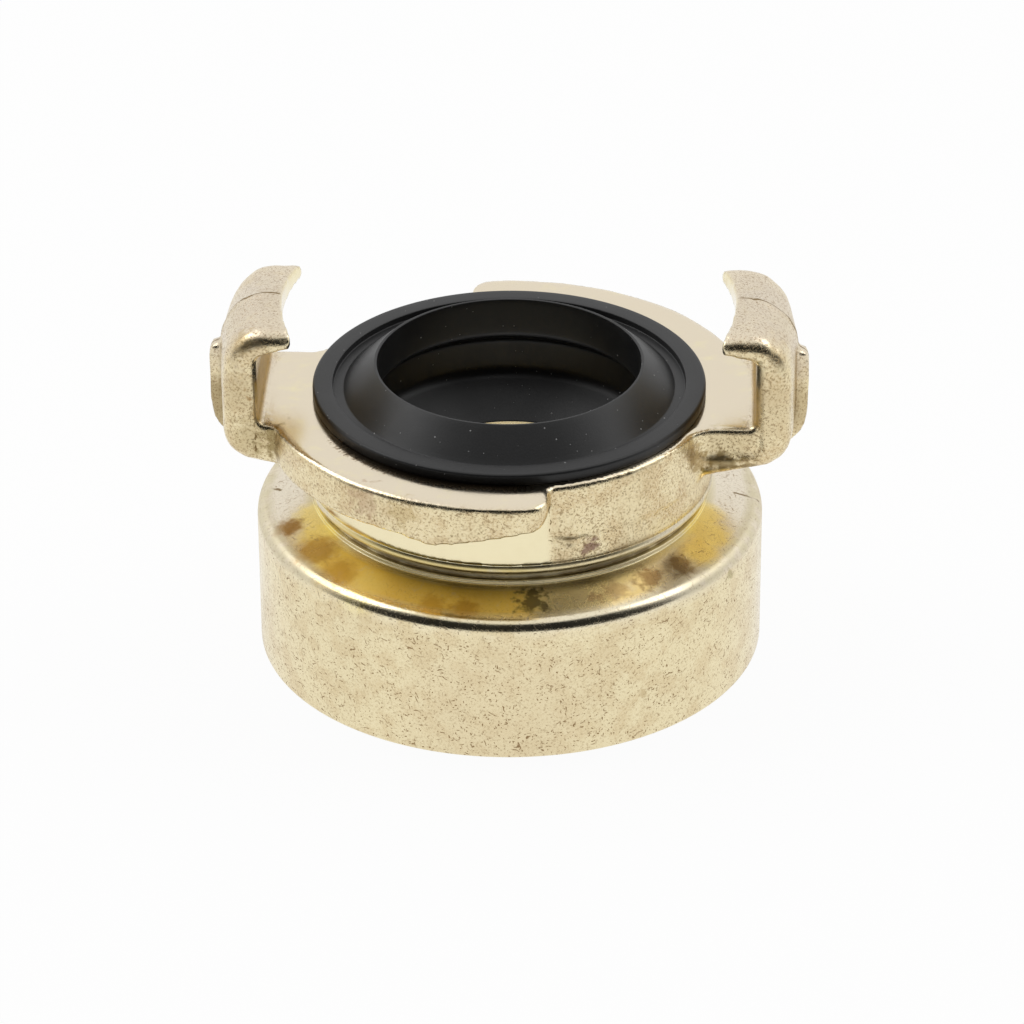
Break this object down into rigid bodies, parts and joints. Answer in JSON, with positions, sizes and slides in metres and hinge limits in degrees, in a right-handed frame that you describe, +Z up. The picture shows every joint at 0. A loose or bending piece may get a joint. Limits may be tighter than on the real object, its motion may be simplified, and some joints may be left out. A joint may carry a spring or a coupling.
{
  "type": "quick connect hose coupling",
  "caption": "Claw-type quick connect hose coupling: forged brass body with hooked claws, bayonet wings and a cup for a pipe thread, sealed by a black rubber form ring.",
  "frame": {"origin": "centre of the cup's bottom face, on the coupling's axis", "axes": "+Z up along the axis to the claws, +X through both claws, +Y to the back"},
  "size_m": [0.0564, 0.0482, 0.036],
  "materials": {
    "brass": "forged and turned brass, lightly tumbled",
    "black_rubber": "matt moulded nitrile rubber"
  },
  "bodies": {
    "root": {"claw_body": "brass", "seal_ring": "black_rubber"}
  },
  "joints": []
}
